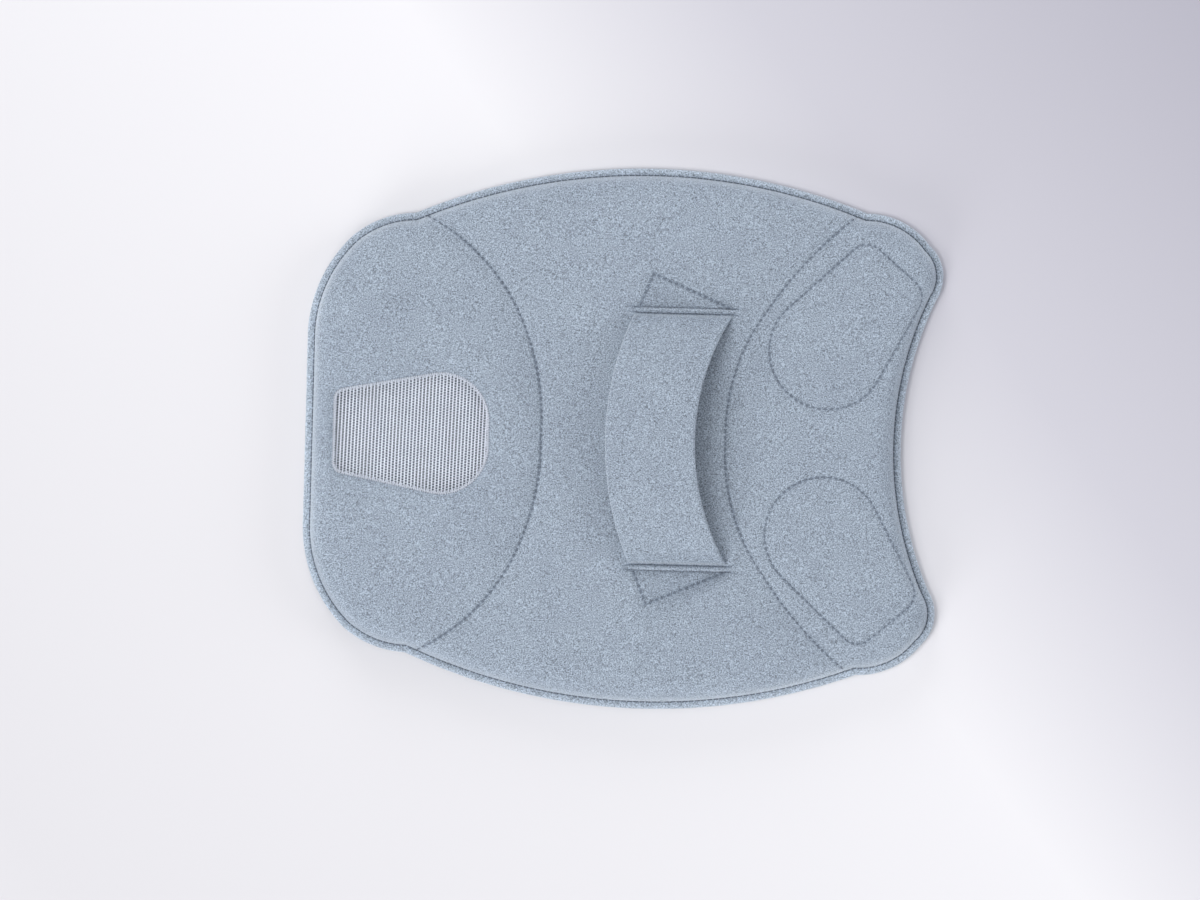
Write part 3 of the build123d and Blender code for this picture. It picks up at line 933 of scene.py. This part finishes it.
# ---------------------------------------------------------------- vent nets
NET_MARGIN = 4.5
NET_SKEW = 0.026
NET_INSET = 0.5  # from the hem's edge to the yarns' ends
NET_RIM = 4.0  # width over which a net rises to the window's edge
WALE_SWING = 0.10
WALE_SWELL = 0.16  # share by which a wale's width comes and goes
BRIDGE_WIDTH = 0.66  # share of a wale's width
BRIDGE_SINK = 0.06
BRIDGE_STATIONS = (0.08, 0.36, 0.64, 0.92)
EDGING_PITCH = 1.5
EDGING_MIDDLE = 0.9
EDGING_REACH = 1.1
EDGING_RADIUS = 0.32
EDGING_LIFT = 0.25  # over the cloth, on the outer side of the zigzag
EDGING_DROP = 0.45  # to its inner side


def net(name, look, level, rise, wale, course, width, node):
    """A warp-knit net: wavy wales along Y, joined by short bridges in staggered rows."""
    rim = beside(WINDOW_LOOP, True, 1, NET_MARGIN, 1.0)
    low, high = rim.min(0), rim.max(0)
    lines = np.arange(low[0] + 2 * NET_INSET, high[0] - NET_INSET, wale)
    spans = []
    for x in lines:
        a, b = rim, np.roll(rim, -1, 0)
        hit = (a[:, 0] > x) != (b[:, 0] > x)
        y = a[hit, 1] + (x - a[hit, 0]) / (b[hit, 0] - a[hit, 0]) * (b[hit, 1] - a[hit, 1])
        spans.append((y.min() + NET_INSET, y.max() - NET_INSET))
    spans = np.array(spans)
    stations = int((spans[:, 1] - spans[:, 0]).max() / (course / 3))
    t = np.linspace(0, 1, stations)
    y = spans[:, :1] * (1 - t) + spans[:, 1:] * t
    odd = (np.arange(len(lines)) % 2)[:, None]
    turn = 2 * math.pi * y / course + math.pi * odd

    def lifted(x, y):
        points = np.column_stack([x.ravel(), y.ravel()])
        within = distance(points, WINDOW_LOOP, True) * np.where(inside(points, WINDOW_LOOP), 1, -1)
        return (level + rise * (1 - smooth(within / NET_RIM))).reshape(x.shape)

    x = lines[:, None] + NET_SKEW * y + WALE_SWING * np.sin(turn)
    wales = np.stack([x, y, lifted(x, y)], 2)
    columns = tubes(name, wales, width * (1 + WALE_SWELL * np.cos(turn)), sides=6, flat=0.5)
    joins = []
    for k in range(len(lines) - 1):
        start, end = spans[k : k + 2, 0].max(), spans[k : k + 2, 1].min()
        n = np.arange(math.ceil(start / course), math.floor(end / course))
        at = ((n + 0.5 * (k % 2)) * course)[:, None]
        across = lines[k] + wale * np.array(BRIDGE_STATIONS) + NET_SKEW * at
        joins.append(np.stack([across, np.repeat(at, len(BRIDGE_STATIONS), 1)], 2))
    joins = np.concatenate(joins)
    z = lifted(joins[..., 0], joins[..., 1]) - BRIDGE_SINK
    paths = np.concatenate([joins, z[..., None]], 2)
    bridges = tubes("bridges", paths, np.full(paths.shape[:2], BRIDGE_WIDTH * width), sides=5, flat=0.7)
    both = bmesh.new()
    both.from_mesh(columns.data)
    both.from_mesh(bridges.data)
    both.to_mesh(columns.data)
    both.free()
    bpy.data.objects.remove(bridges)
    place(columns, "vent_mesh", VENT_BEND, stands_for=[node], look=look)


def net_edging():
    """A close zigzag of yarn that finishes the window's edge."""
    sample, length = line_sampler(WINDOW_LOOP, True)
    turns = round(length / EDGING_PITCH)
    s = np.linspace(0, length, turns * 4, endpoint=False)
    spot, way = sample(s)
    inward = np.column_stack([way[:, 1], -way[:, 0]])
    swing = EDGING_MIDDLE + EDGING_REACH * np.sin(2 * math.pi * s / length * turns)
    flat = spot + inward * swing[:, None]
    z = surface(spot)[0] + EDGING_LIFT - EDGING_DROP * smooth((swing + 0.6) / 2.6)
    path = np.column_stack([flat, z])
    o = tubes("vent_edging", path[None], np.full((1, len(path)), EDGING_RADIUS), sides=5)
    place(o, "vent_mesh", VENT_BEND)


# ---------------------------------------------------------------- hand strap
STRAP_RISE = 18.0
STRAP_FOOT = 23.3  # height of the strap's middle where it turns down into its slots
STRAP_INNER = 57.0  # |y| given as the inner end of the strap's bend
STRAP_STATIONS = 129  # along it, an odd number, so that one lies in the middle
STRAP_TOP_POINTS = 44
STRAP_EDGE_POINTS = 7
STRAP_GATHER = 9.0  # length over which it is drawn together at a slot
STRAP_BULGE = 0.35
STRAP_LEAN = 3.4  # its outer edge is this much higher than its inner one
STRAP_FOLDS = (0.55, 0.75)  # at its ends: height, and radians per mm
STRAP_WAVES = (0.22, 26)
STRAP_DIVE = (79.0, 2.2)  # |y| where its ends turn down, and how steeply
# painted shade on the strap's top where it goes under the slots' lips
STRAP_SHADE = 0.35


def strap():
    """The padded band between the slots: a sleeve, higher on its outer edge, gathered at its ends, with
    painted shade on top where it goes into the slots.
    """
    y = np.linspace(-SLOT_Y, SLOT_Y, STRAP_STATIONS)
    edges = [np.vstack([arc(*a), [a[2]]])[::-1] for a in (STRAP_LOW, STRAP_HIGH)]
    low, high = (np.interp(y, line[:, 1], line[:, 0])[:, None] for line in edges)
    edge = np.linspace(0, math.pi, STRAP_EDGE_POINTS + 2)[1:-1]
    half = STRAP_THICK / 2
    top = np.linspace(0, 1, STRAP_TOP_POINTS)
    span = high - low
    reach = top * (span - 2 * half) + half
    curve = half * np.sin(edge)
    across = np.hstack([reach, span - half + curve, reach[:, ::-1], half - curve + 0 * span])
    side = np.r_[np.ones(len(top)), np.cos(edge), -np.ones(len(top)), -np.cos(edge)]
    share = across / span
    near_slot = np.exp(-((SLOT_Y - np.abs(y)) / STRAP_GATHER))[:, None]
    middle = 1 - (np.abs(y) / STRAP_PIVOT_Y) ** STRAP_POWER
    z = (STRAP_FOOT + STRAP_RISE * middle)[:, None]
    bulge = STRAP_BULGE * np.sin(math.pi * share) * (1 - near_slot)
    z = z + side * (half + bulge) + STRAP_LEAN * (share - 0.5) * np.clip(middle, 0, 1)[:, None]
    height, turn = STRAP_FOLDS
    z = z + height * near_slot * np.sin(across * turn + np.sign(y)[:, None]) * (side > 0)
    flat = np.stack([low + across, np.repeat(y[:, None], across.shape[1], 1)], 2)
    height, length = STRAP_WAVES
    z = z + height * waves(flat.reshape(-1, 2), length, 31).reshape(z.shape)
    z = z - STRAP_DIVE[1] * np.maximum(np.abs(y) - STRAP_DIVE[0], 0)[:, None]
    verts = np.concatenate([flat, z[..., None]], 2)
    n, sides = z.shape
    faces = sleeve_quads(sides, n)
    points = verts.reshape(-1, 3)
    tri = np.concatenate([faces[:, :3], faces[:, [0, 2, 3]]])
    normals = vertex_normals(points, tri)
    for name, sign in SIDES:
        rows = np.flatnonzero(sign * y >= -1e-6)
        first, count = rows[0] * sides, len(rows)
        part = slice(first, first + count * sides)
        o = mesh_object(f"hand_strap_{name}", points[part], sleeve_faces(sides, count), normals[part])
        # painted shade on the strap's upper side next to each slot
        dark = np.repeat(near_slot[rows], sides, 1).ravel() * (np.tile(side, count) > 0)
        mark(o, "groove", STRAP_SHADE * dark)
        start, end = (0, sign * SLOT_Y * MM, 0), (0, sign * STRAP_INNER * MM, 0)
        bend = ("centre_section", "hand_strap", start, end)
        place(o, "face_fabric", bend, stands_for=["strap_cover", "strap_core", f"strap_end_{name}"])


WELT_SINK = 0.35
WELT_RADIUS = 1.5
WELT_TAPER = (2.5, 0.12)  # length of its ends, and the least share of its width


def welts():
    """The folded lip of cloth above each slot."""
    for name, sign in SIDES:
        x = np.linspace(WELT_X[0] + 0.4, WELT_X[1] - 0.4, 60)
        flat = np.column_stack([x, np.full(len(x), sign * sum(WELT_Y) / 2)])
        z = surface(flat)[0] - WELT_SINK + 0.1 * waves(flat, 9, 41)
        ends = np.clip(np.minimum(x - x[0], x[-1] - x) / WELT_TAPER[0], WELT_TAPER[1], 1) ** 0.5
        path = np.column_stack([flat, z])[None]
        o = tubes(f"strap_welt_{name}", path, WELT_RADIUS * ends[None], sides=16, flat=0.75)
        mark(o, "groove", np.zeros(len(o.data.vertices)))
        place(o, "face_fabric", body="centre_section", stands_for=[f"strap_slot_welt_{name}"])


# ---------------------------------------------------------------- hidden layers
INNER_BASE = 2.8
INNER_SQUEEZE = 0.82  # keeps the layers clear of the grooves in the face fabric
CUTS_PER_METRE = 200
WEB_CEILING = 17.2  # keeps the tabs' webbing below the face fabric
SHARP = math.radians(35)


def cut_across(made, x, side=1, drop=False):
    geometry = made.verts[:] + made.edges[:] + made.faces[:]
    bmesh.ops.bisect_plane(
        made, geom=geometry, dist=1e-7, plane_co=(x, 0, 0), plane_no=(side, 0, 0), clear_inner=drop
    )


def inner(node, name, slot, bend, half=None, ceiling=None):
    """A copy of a hidden CAD piece, a little thinner, cut across every few mm so that it can bend."""
    made = bmesh.new()
    made.from_mesh(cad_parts[node].data)
    bmesh.ops.remove_doubles(made, verts=made.verts, dist=1e-6)
    low, high = (c.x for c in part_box(node))
    for x in np.arange(math.ceil(low * CUTS_PER_METRE) / CUTS_PER_METRE, high, 1 / CUTS_PER_METRE):
        cut_across(made, x)
    if half:
        cut_across(made, SPLIT_X * MM, half, drop=True)
        bmesh.ops.holes_fill(made, edges=[e for e in made.edges if e.is_boundary])
    for v in made.verts:
        if v.co.z > INNER_BASE * MM:
            v.co.z = (INNER_BASE + (v.co.z / MM - INNER_BASE) * INNER_SQUEEZE) * MM
        if ceiling:
            v.co.z = min(v.co.z, ceiling * MM)
    mesh = bpy.data.meshes.new(name)
    made.to_mesh(mesh)
    made.free()
    mesh.materials.clear()
    o = added(name, mesh)
    mesh.shade_smooth()
    mesh.set_sharp_from_angle(angle=SHARP)
    return place(o, slot, bend, "centre_section", [node])


def hidden_layers():
    for name, half, bend in PARTS:
        foam = inner(node_of(name, "foam_pad"), f"{name}_foam", "foam", bend, half)
        inner(node_of(name, "impact_plate"), f"{name}_plate", "impact_plate", bend, half)
    for side, _ in SIDES:
        insert = inner(f"corner_insert_{side}", f"corner_insert_foam_{side}", "foam", SCOOP_BEND)
        inner(f"strap_tab_{side}", f"strap_tab_web_{side}", "binding_tape", None, ceiling=WEB_CEILING)
    inner("vent_seam_tape", "vent_seam_band", "binding_tape", VENT_BEND)
    inner("scoop_seam_tape", "scoop_seam_band", "binding_tape", SCOOP_BEND)


face_panels()
linings()
bindings()
all_stitches()
net("vent_net_front", "vent_mesh", 16.9, 0.7, 2.23, 1.75, 0.50, "vent_mesh_front")
net_edging()
net("vent_net_back", "backing_mesh", 3.4, 0.0, 2.0, 1.7, 0.75, "vent_mesh_back")
strap()
welts()
hidden_layers()


# ---------------------------------------------------------------- floor, light and camera
FLOOR_REACH = 4000
FLOOR_CELLS = 24
FLOOR_LEVEL = -0.2
FLOOR_SLANT = 0.8  # the floor's painted light and shade follow X + 0.8 Y, between two values of it
FLOOR_SPAN = (-0.6, 1.9)
FLOOR_LIGHT_AND_SHADE = [
    (0.0, (0.60, 0.59, 0.61)),
    (0.18, (0.70, 0.69, 0.71)),
    (0.27, (0.75, 0.74, 0.76)),
    (0.36, (0.54, 0.53, 0.58)),
    (0.5, (0.39, 0.38, 0.44)),
    (1.0, (0.72, 0.71, 0.74)),
]
LIGHTS = (  # name, place, size and power
    ("key", (-1.4, -0.5, 2.35), 1.6, 42),
    ("back", (-0.5, 1.9, 0.6), 1.2, 20),
    ("front", (-1.1, -1.9, 0.7), 1.2, 27),
    ("side", (1.7, 0.1, 0.6), 1.2, 15),
)
SKY = (0.93, 0.95, 1.0)
SKY_STRENGTH = 0.46


def floor():
    """A pale sheet of paper with painted light and shade: darker along a slanting band."""
    n = FLOOR_CELLS
    at = np.linspace(-FLOOR_REACH, FLOOR_REACH, n + 1)
    verts = [(x, y, FLOOR_LEVEL) for y in at for x in at]
    corners = [r * (n + 1) + c for r in range(n) for c in range(n)]
    faces = [(k, k + 1, k + n + 2, k + n + 1) for k in corners]
    o = mesh_object("floor", verts, faces)
    m, nodes, links, shader = material("floor_paper", 0.9)
    coordinates = nodes.new("ShaderNodeTexCoord")
    split = nodes.new("ShaderNodeSeparateXYZ")
    links.new(coordinates.outputs["Object"], split.inputs["Vector"])
    slope = nodes.new("ShaderNodeMath")
    slope.operation = "MULTIPLY_ADD"
    slope.inputs[1].default_value = FLOOR_SLANT
    links.new(split.outputs["Y"], slope.inputs[0])
    links.new(split.outputs["X"], slope.inputs[2])
    spread = nodes.new("ShaderNodeMapRange")
    spread.inputs["From Min"].default_value, spread.inputs["From Max"].default_value = FLOOR_SPAN
    links.new(slope.outputs["Value"], spread.inputs["Value"])
    # painted light and shade: lighter and darker bands across the floor
    painted_light = ramp(nodes, links, spread.outputs["Result"], FLOOR_LIGHT_AND_SHADE)
    links.new(painted_light, shader.inputs["Base Color"])
    bump(nodes, links, shader, grain(nodes, links, 700), strength=0.05, height=0.0002)
    o.data.materials.append(m)


def soft_light(name, place_at, size, power):
    light = bpy.data.lights.new(name, "AREA")
    light.shape, light.size, light.energy = "DISK", size, power
    o = added(name, light)
    o.location = place_at
    o.rotation_mode = "QUATERNION"
    o.rotation_quaternion = Vector(place_at).to_track_quat("Z", "Y")


def sky():
    world = bpy.data.worlds.new("studio")
    world.use_nodes = True
    background = world.node_tree.nodes["Background"]
    background.inputs["Color"].default_value = (*SKY, 1)
    background.inputs["Strength"].default_value = SKY_STRENGTH
    bpy.context.scene.world = world


TILT = math.radians(1.5)
VIEW_WIDTH = 0.780  # of the floor, across the picture
CAMERA_HEIGHT = 3.0  # above the plane that is VIEW_WIDTH wide
VIEW_LEVEL = 0.01
VIEW_CENTRE = (-0.0143, -0.0078)


def camera():
    data = bpy.data.cameras.new("camera")
    data.lens = data.sensor_width * CAMERA_HEIGHT / VIEW_WIDTH
    data.clip_end = 20
    o = added("camera", data)
    turned = Matrix.Rotation(TILT, 4, "Z")
    o.matrix_world = turned @ Matrix.Translation((*VIEW_CENTRE, CAMERA_HEIGHT + VIEW_LEVEL))
    bpy.context.scene.camera = o


floor()
for light in LIGHTS:
    soft_light(*light)
sky()
bpy.context.scene.view_settings.view_transform = "Standard"
camera()
